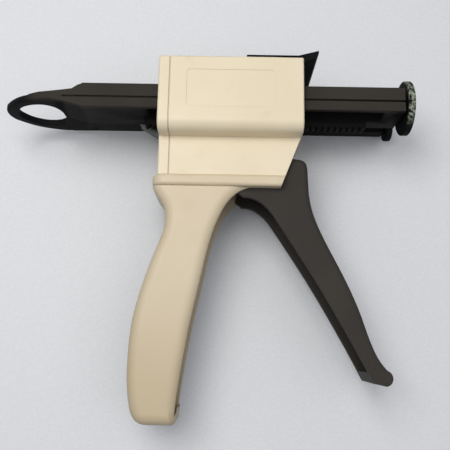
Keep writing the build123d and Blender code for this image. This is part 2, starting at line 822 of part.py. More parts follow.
def loop_hole():
    near = loop_line(loop_hole_outline)
    far = [(x, -z) for x, z in near]
    return joined_face([
        Spline(*near, tangents=[(0, 1), (0, -1)]),
        Spline(*far, tangents=[(0, -1), (0, 1)]),
        Line(near[0], far[0]),
    ])


def build_plunger_rack():
    edge = large_arm_centre + large_arm_width / 2
    inner = large_arm_centre - large_arm_width / 2
    far = small_arm_centre - small_arm_width / 2
    tall = large_arm_height / 2
    small_tall = small_arm_height / 2
    neck_end = -rack_rear - neck_length
    # Neck between the beam and the loop, wedge-shaped seen from the side
    neck_top = [(-rack_rear - a * neck_length, b * tall) for a, b in neck_line]
    near_neck = outline([
        (-rack_rear + 1, tall), *neck_top, (neck_end, loop_top), (neck_end, loop_top - 1),
        (-rack_rear - neck_length / 2, loop_low), (-rack_rear - neck_length * 0.43, loop_low),
        (-rack_rear + 1, -tall),
    ])
    far_neck = outline([
        (-rack_rear + 1, plate_top), (neck_end, loop_top), (neck_end, loop_top - 1),
        (-rack_rear - neck_length / 2, loop_low), (-rack_rear + 1, plate_low),
    ])
    neck = side_shape(near_neck, inner, edge) + side_shape(far_neck, far, inner)
    plan = loop_plan()
    neck &= plan_shape(plan, -tall, tall)
    loop = plan_shape(plan, loop_low, loop_top)
    rim = [e for e in loop.edges() if e.center().X < -rack_rear - neck_length / 2]
    loop = fillet([e for e in rim if abs(e.center().Y - loop_top) < 0.01], loop_upper_radius)
    rim = [e for e in loop.edges() if e.center().X < -rack_rear - neck_length / 2]
    loop = fillet([e for e in rim if abs(e.center().Y - loop_low) < 0.01], loop_lower_radius)
    rack = loop + neck
    rack -= plan_shape(loop_hole(), -tall, tall)
    # Large arm from the loop to its front end, small arm from inside the housing, plate between them
    rack += block(-rack_rear, arm_front, -tall, tall, inner, edge)
    rack += block(-rack_rear, plate_front, plate_low, plate_top, far, inner)
    rack += block(small_arm_rear, arm_front, -small_tall, small_tall, far, far + small_arm_width)
    # Channel in the underside of the large arm, beside the toothed rib
    channel_inner = rib_inner + rib_width + 0.8
    rack -= block(
        channel_rear, arm_front - channel_end_wall, -tall, -tall + channel_depth,
        channel_inner, edge - channel_wall,
    )
    rack += side_shape(tooth_profile(), rib_inner, rib_inner + rib_width)
    rack -= block(
        -groove_rear, arm_front, -groove_drop - groove_height / 2, -groove_drop + groove_height / 2,
        edge - groove_depth, edge,
    )
    # Stems and the tenons that the discs are pressed on
    tenon = disc_socket - socket_room
    for z, stem, pin, disc_rear in (
        (large_arm_centre, large_stem_radius, large_tenon_radius, large_disc_rear),
        (small_arm_centre, small_stem_radius, small_tenon_radius, small_disc_rear),
    ):
        rack += front_shape(Pos(0, z) * Circle(stem), arm_front, disc_rear)
        rack += front_shape(Pos(0, z) * Circle(pin), arm_front, disc_rear + tenon)
    return rack


def build_large_disc():
    return build_disc(large_disc_radius, large_tenon_radius, large_arm_centre, large_disc_rear)


def build_small_disc():
    return build_disc(small_disc_radius, small_tenon_radius, small_arm_centre, small_disc_rear)


def build_disc(radius, tenon_radius, z_centre, rear):
    disc = front_shape(Pos(0, z_centre) * Circle(radius), rear, rear + disc_thickness)
    disc = fillet(disc.edges().filter_by(GeomType.CIRCLE), disc_edge_radius)
    disc -= front_shape(Pos(0, z_centre) * Circle(tenon_radius + seat_gap), rear, rear + disc_socket)
    return disc


nodes = {
    "housing_shell": build_housing_shell,
    "rear_cover": build_rear_cover,
    "cover_screws": build_cover_screws,
    "grip_shell": build_grip_shell,
    "grip_screws": build_grip_screws,
    "trigger": build_trigger,
    "trigger_pivot_pin": build_trigger_pivot_pin,
    "trigger_return_spring": build_trigger_return_spring,
    "drive_pawl": build_drive_pawl,
    "pawl_pin": build_pawl_pin,
    "pawl_spring": build_pawl_spring,
    "release_lever": build_release_lever,
    "holding_pawl": build_holding_pawl,
    "release_pin": build_release_pin,
    "release_spring": build_release_spring,
    "cartridge_latch": build_cartridge_latch,
    "latch_pin": build_latch_pin,
    "plunger_rack": build_plunger_rack,
    "large_disc": build_large_disc,
    "small_disc": build_small_disc,
}


def main():
    os.makedirs("parts", exist_ok=True)
    for name, build_node in nodes.items():
        made = build_node()
        solids = [s for shape in (made if isinstance(made, list) else [made]) for s in shape.solids()]
        placed = Compound(children=[origin_shift * s for s in solids])
        placed.label = name
        export_step(placed, f"parts/{name}.step")
        print(name, len(solids), "solids")


main()
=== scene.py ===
import bpy
import bisect
import bmesh
import math
from mathutils import Matrix, Vector


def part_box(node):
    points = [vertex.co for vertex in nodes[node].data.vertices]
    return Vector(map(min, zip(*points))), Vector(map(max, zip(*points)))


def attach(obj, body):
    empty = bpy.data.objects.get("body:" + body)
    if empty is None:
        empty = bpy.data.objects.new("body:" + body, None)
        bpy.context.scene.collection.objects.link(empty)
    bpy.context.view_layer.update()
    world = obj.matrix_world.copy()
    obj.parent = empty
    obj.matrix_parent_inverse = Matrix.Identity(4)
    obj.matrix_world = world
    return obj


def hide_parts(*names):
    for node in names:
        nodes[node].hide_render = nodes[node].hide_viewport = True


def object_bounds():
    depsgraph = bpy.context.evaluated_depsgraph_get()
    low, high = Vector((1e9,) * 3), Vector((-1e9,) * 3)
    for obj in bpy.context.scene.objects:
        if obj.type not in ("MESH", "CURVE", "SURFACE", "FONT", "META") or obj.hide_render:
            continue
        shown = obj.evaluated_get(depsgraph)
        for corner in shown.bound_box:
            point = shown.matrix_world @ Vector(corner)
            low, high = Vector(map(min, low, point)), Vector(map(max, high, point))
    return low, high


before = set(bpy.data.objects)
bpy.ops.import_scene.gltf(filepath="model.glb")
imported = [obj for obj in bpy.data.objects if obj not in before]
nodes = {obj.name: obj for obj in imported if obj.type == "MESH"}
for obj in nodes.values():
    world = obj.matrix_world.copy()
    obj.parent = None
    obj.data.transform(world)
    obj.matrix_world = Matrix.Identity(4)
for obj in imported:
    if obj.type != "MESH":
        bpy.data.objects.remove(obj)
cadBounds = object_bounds()
print("frame loaded with", len(nodes), "nodes")


def rgb(red, green, blue):
    # From the 0 to 255 values of a colour picker to linear light
    def linear(value):
        value = value / 255
        return value / 12.92 if value <= 0.04045 else ((value + 0.055) / 1.055) ** 2.4
    return (linear(red), linear(green), linear(blue), 1.0)


# A socket with operators, so that shader maths reads as maths; geometry trees use its node method too
class Flow:
    def __init__(self, tree, socket=None):
        self.tree = tree
        self.socket = socket

    def node(self, kind, settings=None, inputs=None, out=0):
        made = self.tree.nodes.new(kind)
        for name, value in (settings or {}).items():
            setattr(made, name, value)
        for name, value in (inputs or {}).items():
            if isinstance(value, Flow):
                self.tree.links.new(value.socket, made.inputs[name])
            else:
                made.inputs[name].default_value = value
        return Flow(self.tree, made.outputs[out] if made.outputs else None)

    def maths(self, operation, first, second=0.0):
        return self.node("ShaderNodeMath", {"operation": operation}, {0: first, 1: second})

    def __add__(self, other):
        return self.maths("ADD", self, other)

    def __radd__(self, other):
        return self.maths("ADD", other, self)

    def __sub__(self, other):
        return self.maths("SUBTRACT", self, other)

    def __rsub__(self, other):
        return self.maths("SUBTRACT", other, self)

    def __mul__(self, other):
        return self.maths("MULTIPLY", self, other)

    def __pow__(self, other):
        return self.maths("POWER", self, other)

    def ramp(self, low, high):
        # 0 below low, 1 above high, smooth in between
        return self.node("ShaderNodeMapRange", {"interpolation_type": "SMOOTHSTEP"},
                         {"Value": self, "From Min": low, "From Max": high})

    def noise(self, scale, detail=3.0, rough=0.5, stretch=None, turn=(0, 0, 0)):
        spot = self
        if stretch:
            spot = self.node("ShaderNodeMapping", {}, {"Vector": self, "Rotation": turn, "Scale": stretch})
        return self.node("ShaderNodeTexNoise", {},
                         {"Vector": spot, "Scale": scale, "Detail": detail, "Roughness": rough})

    def blend(self, first, second):
        # self is the factor; colours or linked colours
        return self.node("ShaderNodeMix", {"data_type": "RGBA"}, {0: self, 6: first, 7: second}, out=2)


def newFinish(name):
    material = bpy.data.materials.new(name)
    material.use_nodes = True
    material.node_tree.nodes.clear()
    flow = Flow(material.node_tree)
    coords = flow.node("ShaderNodeTexCoord", out="Object")
    return material, flow, coords


def closeFinish(flow, sockets):
    shader = flow.node("ShaderNodeBsdfPrincipled", {}, sockets)
    flow.node("ShaderNodeOutputMaterial", {}, {"Surface": shader})


def parted(coords, axis):
    return coords.node("ShaderNodeSeparateXYZ", {}, {0: coords}, out=axis)


# Height of a bump of strength 1
bumpReach = 0.0001
# Marks that every moulded plastic here shares; each pair is where a mark starts and where it is full
wear = {
    "bevelSamples": 6,
    "edge": (0.01, 0.25),
    "rubbed": (0.38, 0.62),
    "cloud": (0.35, 0.68),
    "smudge": (0.56, 0.80),
    "hairs": {"stretch": (60, 1900, 300), "turn": (0.2, 0.4, 0.5)},
    "hair": (0.70, 0.74),
    "crossHairs": {"stretch": (1500, 50, 240), "turn": (0.3, 0.1, -0.3)},
    "crossHair": (0.71, 0.75),
    "hairPatch": (0.45, 0.62),
    "hairDetail": {"detail": 2.0, "rough": 0.4},
    "scratchDepth": 0.35,
    "scratchRoughness": 0.12,
    "smudgeHeight": 0.4,
    "edgePolish": 0.05,
    "speck": (0.05, 0.09),
    "speckPatchScale": 170.0,
    "speckPatch": (0.62, 0.70),
}


# Soft edges, worn ones a little lighter, faint haze and hairlines, and painted shade towards one end of an
# axis where given
def mouldedPlastic(name, look, residue=None, shadeShifts=()):
    material, flow, coords = newFinish(name)
    softNormal = flow.node("ShaderNodeBevel", {"samples": wear["bevelSamples"]},
                           {"Radius": look["edgeRadius"]})
    trueNormal = flow.node("ShaderNodeNewGeometry", out="True Normal")
    along = flow.node("ShaderNodeVectorMath", {"operation": "DOT_PRODUCT"},
                      {0: softNormal, 1: trueNormal}, out="Value")
    edge = (1 - along).ramp(*wear["edge"])
    cloud = coords.noise(look["cloudScale"], detail=2.0)
    smudge = coords.noise(look["smudgeScale"], detail=4.0, rough=0.62)
    grain = coords.noise(look["grainScale"], detail=2.0, rough=0.6)
    hairs = coords.noise(1.0, **wear["hairDetail"], **wear["hairs"]).ramp(*wear["hair"])
    crossHairs = coords.noise(1.0, **wear["hairDetail"], **wear["crossHairs"]).ramp(*wear["crossHair"])
    scratch = (hairs + crossHairs) * smudge.ramp(*wear["hairPatch"])
    specks = flow.node("ShaderNodeTexVoronoi", {},
                       {"Vector": coords, "Scale": look["speckScale"], "Randomness": 1.0}, out="Distance")
    speck = 1 - specks.ramp(*wear["speck"])
    speck = speck * coords.noise(wear["speckPatchScale"], detail=2.0).ramp(*wear["speckPatch"])
    colour = cloud.ramp(*wear["cloud"]).blend(look["colour"], look["cloudColour"])
    colour = (smudge.ramp(*wear["smudge"]) * look["smudgeShare"]).blend(colour, look["smudgeColour"])
    colour = (speck * look["speckShare"]).blend(colour, look["speckColour"])
    colour = (scratch * look["scratchShare"]).blend(colour, look["scratchColour"])
    colour = (edge * smudge.ramp(*wear["rubbed"]) * look["edgeShare"]).blend(colour, look["edgeColour"])
    # Each shift darkens the colour towards the low end of one axis: painted shade
    for shift in shadeShifts:
        amount = (1 - parted(coords, shift["axis"]).ramp(shift["low"], shift["high"])) * shift["share"]
        colour = amount.blend(colour, shift["colour"])
    rough = look["roughness"] + (smudge - 0.5) * look["roughnessSpread"]
    rough = rough + scratch * wear["scratchRoughness"] - edge * wear["edgePolish"]
    height = grain * look["grainDepth"] - scratch * wear["scratchDepth"] + smudge * wear["smudgeHeight"]
    if residue:
        film = filmAndRimHighlight(flow, coords, residue)
        stain = coords.noise(residue["tintScale"], detail=3.0, rough=0.6).ramp(*residue["tints"])
        colour = film.blend(colour, stain.blend(residue["colour"], residue["tint"]))
        rough = rough + film * residue["dullness"]
        height = height + film * residue["thickness"]
    normal = flow.node("ShaderNodeBump", {}, {"Strength": look["bumpStrength"], "Distance": bumpReach,
                                              "Height": height, "Normal": softNormal})
    closeFinish(flow, {"Base Color": colour, "Roughness": rough, "Normal": normal, "IOR": look["gloss"]})
    return material


# Patches of dried material on the rim of a disc, thickest towards one side; on the small disc they are also
# a painted highlight of its lit rim
def filmAndRimHighlight(flow, coords, look):
    apart = flow.node("ShaderNodeVectorMath", {"operation": "SUBTRACT"}, {0: coords, 1: look["centre"]})
    up, out = parted(apart, "Y"), parted(apart, "Z")
    radius = (up * up + out * out) ** 0.5
    onRim = radius.ramp(*look["rim"])
    towards = (out * look["side"][1] + up * look["side"][0]).ramp(*look["near"])
    patches = coords.noise(look["patchScale"], detail=4.0, rough=0.65).ramp(*look["patches"])
    return onRim * towards * patches * look["share"]


ivory = {
    "colour": rgb(232, 219, 192),
    "cloudColour": rgb(228, 214, 184),
    "cloudScale": 22.0,
    "smudgeColour": rgb(205, 190, 160),
    "smudgeScale": 120.0,
    "smudgeShare": 0.25,
    "speckColour": rgb(150, 128, 98),
    "speckScale": 420.0,
    "speckShare": 0.5,
    "scratchColour": rgb(196, 181, 151),
    "scratchShare": 0.25,
    "edgeColour": rgb(240, 231, 210),
    "edgeShare": 0.5,
    "edgeRadius": 0.0005,
    "roughness": 0.46,
    "gloss": 1.45,
    "roughnessSpread": 0.22,
    "grainScale": 2600.0,
    "grainDepth": 0.30,
    "bumpStrength": 0.18,
}
black = {
    "colour": rgb(54, 50, 46),
    "cloudColour": rgb(59, 55, 50),
    "cloudScale": 30.0,
    "smudgeColour": rgb(52, 47, 43),
    "smudgeScale": 140.0,
    "smudgeShare": 0.3,
    "speckColour": rgb(150, 142, 130),
    "speckScale": 380.0,
    "speckShare": 0.6,
    "scratchColour": rgb(70, 65, 60),
    "scratchShare": 0.3,
    "edgeColour": rgb(66, 61, 56),
    "edgeShare": 0.45,
    "edgeRadius": 0.0004,
    "roughness": 0.58,
    "gloss": 1.22,
    "roughnessSpread": 0.14,
    "grainScale": 3000.0,
    "grainDepth": 0.35,
    "bumpStrength": 0.22,
}
grey = dict(black, colour=rgb(116, 122, 114), cloudColour=rgb(124, 129, 121), edgeColour=rgb(150, 154, 147))
# The grip is darker than the housing, most at its foot: painted shade, where the light falls off towards the
# foot
gripShadedIvory = dict(ivory, colour=rgb(214, 199, 171), cloudColour=rgb(209, 193, 163))
gripFootShade = {"axis": "Y", "low": -0.090, "high": 0.000, "colour": rgb(195, 178, 146), "share": 0.9}
# The flap and the discs get a darker copy of the black plastic, which is painted shade, and so do the
# plunger below its near face and the loop's end
shadedBlackCopy = dict(black, colour=rgb(15, 16, 17), cloudColour=rgb(19, 19, 20), smudgeColour=rgb(34, 33, 32),
                 smudgeShare=0.2, roughness=0.68, gloss=1.15)
# Painted shade: the plunger is darker below its near face
plungerShadeBelowFace = {"axis": "Z", "low": 0.0425, "high": 0.0460, "colour": rgb(12, 13, 14), "share": 0.9}
# Painted shade: darker towards the loop's end, where it catches less sheen
loopShade = {"axis": "X", "low": -0.0910, "high": -0.0770, "colour": rgb(14, 15, 17), "share": 0.75}

ivoryFinish = mouldedPlastic("ivoryPlastic", ivory)
# The grip's finish carries that painted shade, darker towards its foot
gripFinish = mouldedPlastic("gripShadedIvory", gripShadedIvory, shadeShifts=(gripFootShade,))
blackFinish = mouldedPlastic("blackPlastic", black)
# The plunger's finish is darker below its near face and towards the loop's end: painted shade
plungerFinish = mouldedPlastic("plungerPlastic", dict(black, roughness=0.66, gloss=1.15),
                               shadeShifts=(plungerShadeBelowFace, loopShade))
# The flap is painted in shade with the darker copy of the black
flapFinish = mouldedPlastic("flapPlastic", shadedBlackCopy)
greyFinish = mouldedPlastic("greyPlastic", grey)


def middle(node):
    low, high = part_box(node)
    return tuple((a + b) / 2 for a, b in zip(low, high))


residue = {
    "centre": middle("large_disc"),
    "rim": (0.0118, 0.0124),
    "side": (0.35, 1.0),
    "near": (0.001, 0.010),
    "patchScale": 620.0,
    "patches": (0.40, 0.58),
    "tintScale": 900.0,
    "tints": (0.40, 0.62),
    "colour": rgb(172, 178, 158),
    "tint": rgb(104, 116, 98),
    "share": 0.85,
    "dullness": 0.25,
    "thickness": 1.5,
}
# The discs are painted in shade with the darker copy of the black
largeDiscFinish = mouldedPlastic("largeDiscPlastic", shadedBlackCopy, residue)
# On the small disc the grey film is partly dried material and partly a painted highlight of its lit rim
smallFilmAndHighlight = dict(residue, centre=middle("small_disc"), rim=(0.0058, 0.0064),
                    colour=rgb(104, 108, 102), tint=rgb(74, 80, 74), share=0.7)
smallDiscFinish = mouldedPlastic("smallDiscPlastic", shadedBlackCopy, smallFilmAndHighlight)


# Turned or drawn steel, brushed along one axis of the object
def drawnSteel(name, look):
    material, flow, coords = newFinish(name)
    lines = coords.noise(1.0, detail=3.0, rough=0.6, stretch=look["stretch"])
    stain = coords.noise(look["stainScale"], detail=4.0, rough=0.6)
    colour = stain.ramp(*look["stain"]).blend(look["colour"], look["stainColour"])
    rough = look["roughness"] + lines * look["lineRoughness"]
    rough = rough + stain.ramp(*look["dull"]) * look["dullRoughness"]
    normal = flow.node("ShaderNodeBump", {},
                       {"Strength": look["bumpStrength"], "Distance": bumpReach, "Height": lines})
    closeFinish(flow, {"Base Color": colour, "Metallic": 1.0, "Roughness": rough, "Normal": normal})
    return material


steel = {
    "colour": rgb(196, 197, 195),
    "stainColour": rgb(158, 155, 148),
    "stainScale": 260.0,
    "stain": (0.45, 0.75),
    "dull": (0.40, 0.80),
    "dullRoughness": 0.15,
    "roughness": 0.22,
    "lineRoughness": 0.14,
    "bumpStrength": 0.25,
    "stretch": (4000, 4000, 160),
}
springSteel = dict(steel, colour=rgb(168, 166, 160), stainColour=rgb(120, 110, 96), roughness=0.3,
                   stretch=(160, 3200, 3200))
steelFinish = drawnSteel("pinSteel", steel)
springFinish = drawnSteel("springSteel", springSteel)
screwFinish = drawnSteel("screwSteel", dict(steel, stretch=(160, 3600, 3600)))

finishes = {
    "housing_shell": ivoryFinish,
    "rear_cover": ivoryFinish,
    "grip_shell": gripFinish,
    "trigger": blackFinish,
    "plunger_rack": plungerFinish,
    "large_disc": largeDiscFinish,
    "small_disc": smallDiscFinish,
    "cartridge_latch": flapFinish,
    "drive_pawl": greyFinish,
    "release_lever": greyFinish,
    "holding_pawl": greyFinish,
    "trigger_pivot_pin": steelFinish,
    "pawl_pin": steelFinish,
    "release_pin": steelFinish,
    "latch_pin": steelFinish,
    "trigger_return_spring": springFinish,
    "pawl_spring": springFinish,
    "release_spring": springFinish,
    "cover_screws": screwFinish,
    "grip_screws": screwFinish,
}
for name, finish in finishes.items():
    mesh = nodes[name].data
    mesh.materials.clear()
    mesh.materials.append(finish)
print("finishes given to", len(finishes), "nodes")


def addPiece(name, mesh, body, slot, *replaced):
    piece = bpy.data.objects.new(name, mesh)
    bpy.context.scene.collection.objects.link(piece)
    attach(piece, body)
    if replaced:
        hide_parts(*replaced)


# Geometry trees: named inputs in, realised and finished mesh out
def newTree(name, floats, vectors=()):
    tree = bpy.data.node_groups.new(name, "GeometryNodeTree")
    tree.interface.new_socket("Geometry", in_out="INPUT", socket_type="NodeSocketGeometry")
    for label in floats:
        tree.interface.new_socket(label, in_out="INPUT", socket_type="NodeSocketFloat")
    for label in vectors:
        tree.interface.new_socket(label, in_out="INPUT", socket_type="NodeSocketVector")
    tree.interface.new_socket("Finish", in_out="INPUT", socket_type="NodeSocketMaterial")
    tree.interface.new_socket("Geometry", in_out="OUTPUT", socket_type="NodeSocketGeometry")
    start = tree.nodes.new("NodeGroupInput")
    given = {socket.name: Flow(tree, socket) for socket in start.outputs if socket.name}
    return tree, Flow(tree), given


def closeTree(flow, given, geometry):
    real = flow.node("GeometryNodeRealizeInstances", {}, {"Geometry": geometry})
    done = flow.node("GeometryNodeSetMaterial", {}, {"Geometry": real, "Material": given["Finish"]})
    flow.node("NodeGroupOutput", {}, {"Geometry": done})


def together(flow, parts):
    join = flow.tree.nodes.new("GeometryNodeJoinGeometry")
    for part in parts:
        flow.tree.links.new(part.socket, join.inputs[0])
    return Flow(flow.tree, join.outputs[0])


def moved(flow, geometry, shift, turn=(0, 0, 0)):
    return flow.node("GeometryNodeTransform", {},
                     {"Geometry": geometry, "Translation": shift, "Rotation": turn})


def vector(flow, x=0.0, y=0.0, z=0.0):
    return flow.node("ShaderNodeCombineXYZ", {}, {"X": x, "Y": y, "Z": z})


sharpAngle = math.radians(32)


def grownMesh(name, tree, values, points):
    seeds = bpy.data.meshes.new(name + "Seeds")
    seeds.from_pydata(points, [], [])
    carrier = bpy.data.objects.new(name + "Carrier", seeds)
    bpy.context.scene.collection.objects.link(carrier)
    modifier = carrier.modifiers.new("shape", "NODES")
    modifier.node_group = tree
    for item in tree.interface.items_tree:
        if item.in_out == "INPUT" and item.name in values:
            modifier[item.identifier] = values[item.name]
    seen = carrier.evaluated_get(bpy.context.evaluated_depsgraph_get())
    mesh = bpy.data.meshes.new_from_object(seen)
    bpy.data.objects.remove(carrier)
    mesh.name = name
    mesh.set_sharp_from_angle(angle=sharpAngle)
    return mesh


# Pan-head screws with a cross recess and a thread, one at every seed point
screwLook = {
    "Head Radius": 0.0028,
    "Head Height": 0.0020,
    "Steepness": 1.3,
    "Shank Radius": 0.00122,
    "Thread Pitch": 0.0011,
    "Thread Depth": 0.00034,
    "Recess Length": 0.0034,
    "Recess Width": 0.0007,
    "Recess Depth": 0.0011,
    "Thread Start": 0.0006,
}
screwSteps = {"segments": 48, "rings": 32, "shank": 32, "thread": 20, "ridge": 4, "weld": 2e-6}


def screwTree(steps):
    tree, flow, given = newTree("screws", list(screwLook) + ["Length"], ["Turn"])
    radius, height, length = given["Head Radius"], given["Head Height"], given["Length"]
    ball = flow.node("GeometryNodeMeshUVSphere", {},
                     {"Segments": steps["segments"], "Rings": steps["rings"], "Radius": radius})
    spot = flow.node("GeometryNodeInputPosition")
    under = flow.maths("MINIMUM", parted(spot, "Z"), 0.0)
    dome = flow.maths("MAXIMUM", under * given["Steepness"], height * -1.0)
    spot = vector(flow, parted(spot, "X"), parted(spot, "Y"), dome)
    head = flow.node("GeometryNodeSetPosition", {}, {"Geometry": ball, "Position": spot})
    size = vector(flow, given["Recess Length"], given["Recess Width"], given["Recess Depth"] * 2.0)
    bar = moved(flow, flow.node("GeometryNodeMeshCube", {}, {"Size": size}), vector(flow, z=height * -1.0))
    crossBar = moved(flow, bar, (0, 0, 0), (0, 0, math.radians(90)))
    cut = {"operation": "DIFFERENCE", "solver": "EXACT"}
    head = flow.node("GeometryNodeMeshBoolean", cut, {"Mesh 1": head, "Mesh 2": bar})
    tree.links.new(crossBar.socket, head.socket.node.inputs["Mesh 2"])
    head = flow.node("GeometryNodeMergeByDistance", {}, {"Geometry": head, "Distance": steps["weld"]})
    core = given["Shank Radius"]
    shank = flow.node("GeometryNodeMeshCylinder", {},
                      {"Vertices": steps["shank"], "Radius": core, "Depth": length})
    shank = moved(flow, shank, vector(flow, z=length * 0.5))
    run = length - given["Thread Start"] * 2.0
    turns = flow.maths("DIVIDE", run, given["Thread Pitch"])
    path = flow.node("GeometryNodeCurveSpiral", {},
                     {"Resolution": steps["thread"], "Rotations": turns, "Height": run,
                      "Start Radius": core, "End Radius": core})
    ridge = flow.node("GeometryNodeCurvePrimitiveCircle", {},
                      {"Resolution": steps["ridge"], "Radius": given["Thread Depth"]})
    thread = flow.node("GeometryNodeCurveToMesh", {},
                       {"Curve": path, "Profile Curve": ridge, "Fill Caps": True})
    thread = moved(flow, thread, vector(flow, z=given["Thread Start"]))
    screw = together(flow, [head, shank, thread])
    placed = flow.node("GeometryNodeInstanceOnPoints", {},
                       {"Points": given["Geometry"], "Instance": screw, "Rotation": given["Turn"]})
    closeTree(flow, given, placed)
    return tree


screws = screwTree(screwSteps)


# One screw in each corner of the node's box, or one across where the box is hardly wider than a head.
# The heads are at the low end of the axis.
def growScrews(name, node, axis, turn):
    low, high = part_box(node)
    height, radius = screwLook["Head Height"], screwLook["Head Radius"]

    def spots(k):
        if k == axis:
            return [low[k] + height]
        ends = [low[k] + radius, high[k] - radius]
        return ends if ends[1] - ends[0] > radius else ends[:1]

    seats = [(x, y, z) for x in spots(0) for y in spots(1) for z in spots(2)]
    values = dict(screwLook, Length=high[axis] - low[axis] - height, Turn=turn, Finish=screwFinish)
    addPiece(name, grownMesh(name, screws, values, seats), "housing", "steel", node)


growScrews("coverScrews", "cover_screws", 0, (0, math.radians(90), 0))
growScrews("gripScrews", "grip_screws", 1, (math.radians(-90), 0, 0))
print("screws grown")

# Return spring: round wire, wound round the trigger's pin, with a long and a short leg
springLook = {
    "Wire Radius": 0.0005,
    "Coil Radius": 0.0035,
    "Turns": 3.5,
    "Pitch": 0.00135,
    "Long Leg": 0.0335,
    "Short Leg": 0.0050,
}
springSteps = {"wire": 14, "coil": 40}


def springTree(steps):
    tree, flow, given = newTree("returnSpring", list(springLook))
    ring = flow.node("GeometryNodeCurvePrimitiveCircle", {},
                     {"Resolution": steps["wire"], "Radius": given["Wire Radius"]})
    height = given["Turns"] * given["Pitch"]
    radius = given["Coil Radius"]
    coil = flow.node("GeometryNodeCurveSpiral", {},
                     {"Resolution": steps["coil"], "Rotations": given["Turns"], "Height": height,
                      "Start Radius": radius, "End Radius": radius})
    coil = moved(flow, coil, (0, 0, 0), (0, 0, math.radians(-90)))
    under = vector(flow, y=radius * -1.0)
    back = vector(flow, x=given["Long Leg"] * -1.0, y=radius * -1.0)
    longLeg = flow.node("GeometryNodeCurvePrimitiveLine", {}, {"Start": under, "End": back})
    over = vector(flow, y=radius, z=height)
    front = vector(flow, x=given["Short Leg"], y=radius, z=height)
    shortLeg = flow.node("GeometryNodeCurvePrimitiveLine", {}, {"Start": over, "End": front})
    wires = together(flow, [coil, longLeg, shortLeg])
    wire = flow.node("GeometryNodeCurveToMesh", {},
                     {"Curve": wires, "Profile Curve": ring, "Fill Caps": True})
    placed = flow.node("GeometryNodeInstanceOnPoints", {}, {"Points": given["Geometry"], "Instance": wire})
    closeTree(flow, given, placed)
    return tree


def windSpring(look):
    pin = middle("trigger_pivot_pin")
    low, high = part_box("trigger_return_spring")
    seat = (pin[0], pin[1], low[2] + look["Wire Radius"])
    mesh = grownMesh("returnSpring", springTree(springSteps), dict(look, Finish=springFinish), [seat])
    addPiece("returnSpring", mesh, "housing", "steel", "trigger_return_spring")


windSpring(springLook)
print("return spring wound")

# The plunger is the solid's own shape with a rounder loop, and with both arms run up close to their discs
plungerLook = {
    "stem": 0.0048,
    "largeReach": 0.0036,
    "smallReach": 0.0016,
    "between": 0.0180,
    "loopMiddle": 0.0168,
    "holeReach": (0.0140, 0.0149),
    "wall": (0.0013, 0.0025),
    "spread": math.radians(11),
    "fade": (0.0158, 0.0218),
    "region": 0.0300,
    "weld": 1e-6,
    "tiny": 1e-5,
    "slack": 1e-4,
    "sharp": math.radians(28),
}


# A bell curve in eighths of its spread, out to two and a half spreads on both sides
bell = [(k / 8, math.exp(-(k / 8) ** 2 / 2)) for k in range(-20, 21)]
bellWeight = sum(weight for step, weight in bell)
leastAngle = 1e-6


# From points round a middle, the change of radius at any angle that makes their outline smooth
def outlineChange(points, spread):
    ring = sorted(set((round(a, 4), r) for a, r in points))
    ring = [(a - 2 * math.pi, r) for a, r in ring] + ring + [(a + 2 * math.pi, r) for a, r in ring]
    angles = [a for a, r in ring]

    def radius(angle):
        place = bisect.bisect(angles, angle)
        (a, r), (b, s) = ring[place - 1], ring[place]
        return r + (s - r) * (angle - a) / max(b - a, leastAngle)

    def change(angle):
        total = sum(weight * radius(angle + step * spread) for step, weight in bell)
        return total / bellWeight - radius(angle)

    return radius, change


def roundLoop(shape, look):
    low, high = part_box("plunger_rack")
    tip = low[0]
    middleX, middleZ = tip + look["loopMiddle"], (low[2] + high[2]) / 2
    loop = [vert for vert in shape.verts if vert.co.x < tip + look["region"]]
    under = min(vert.co.y for vert in loop if vert.co.x < middleX)

    def polar(vert):
        x, z = vert.co.x - middleX, vert.co.z - middleZ
        return math.atan2(z, x), math.hypot(x, z)

    hole = [polar(v) for v in loop if v.co.y < under + look["tiny"]
            and polar(v)[1] < look["holeReach"][v.co.x > middleX]]
    wallLow, wallHigh = under + look["wall"][0] - look["slack"], under + look["wall"][1] + look["slack"]
    rim = [polar(v) for v in loop if wallLow < v.co.y < wallHigh
           and polar(v)[1] > look["holeReach"][1] and v.co.x < tip + look["fade"][1]]
    holeRadius, holeChange = outlineChange(hole, look["spread"])
    rimRadius, rimChange = outlineChange(rim, look["spread"])
    near, far = look["fade"]
    for vert in loop:
        angle, radius = polar(vert)
        inner, outer = holeRadius(angle), rimRadius(angle)
        share = min(max((radius - inner) / (outer - inner), 0.0), 1.0)
        fade = min(max((far - (vert.co.x - tip)) / (far - near), 0.0), 1.0)
        if share == 1.0 and fade == 0.0:
            continue
        grown = radius + (1 - share) * holeChange(angle) + share * rimChange(angle) * fade
        vert.co.x = max(middleX + grown * math.cos(angle), tip)
        vert.co.z = middleZ + grown * math.sin(angle)
    print("loop rounded from", len(hole), "hole points and", len(rim), "rim points")


def buildPlunger(look):
    shape = bmesh.new()
    shape.from_mesh(nodes["plunger_rack"].data)
    bmesh.ops.remove_doubles(shape, verts=shape.verts, dist=look["weld"])
    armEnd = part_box("large_disc")[0][0] - look["stem"]
    for vert in shape.verts:
        if abs(vert.co.x - armEnd) < look["tiny"]:
            vert.co.x += look["largeReach"] if vert.co.z > look["between"] else look["smallReach"]
    roundLoop(shape, look)
    mesh = bpy.data.meshes.new("plunger")
    shape.to_mesh(mesh)
    shape.free()
    mesh.materials.append(plungerFinish)
    mesh.shade_smooth()
    mesh.set_sharp_from_angle(angle=look["sharp"])
    addPiece("plunger", mesh, "plunger", "black_plastic", "plunger_rack")


buildPlunger(plungerLook)
print("plunger shaped")


# Camera, straight over the gun and leaning a little from its grip end.
# It stands off from the corner of the housing that is nearest to the muzzle's roof.
cameraLook = {
    "offset": (0.0278, -0.1345, 0.2575),
    "lean": math.radians(11.8),
    "roll": math.radians(1.0),
    "lens": 48.0,
    "sensor": 36.0,
    "clipStart": 0.01,
}


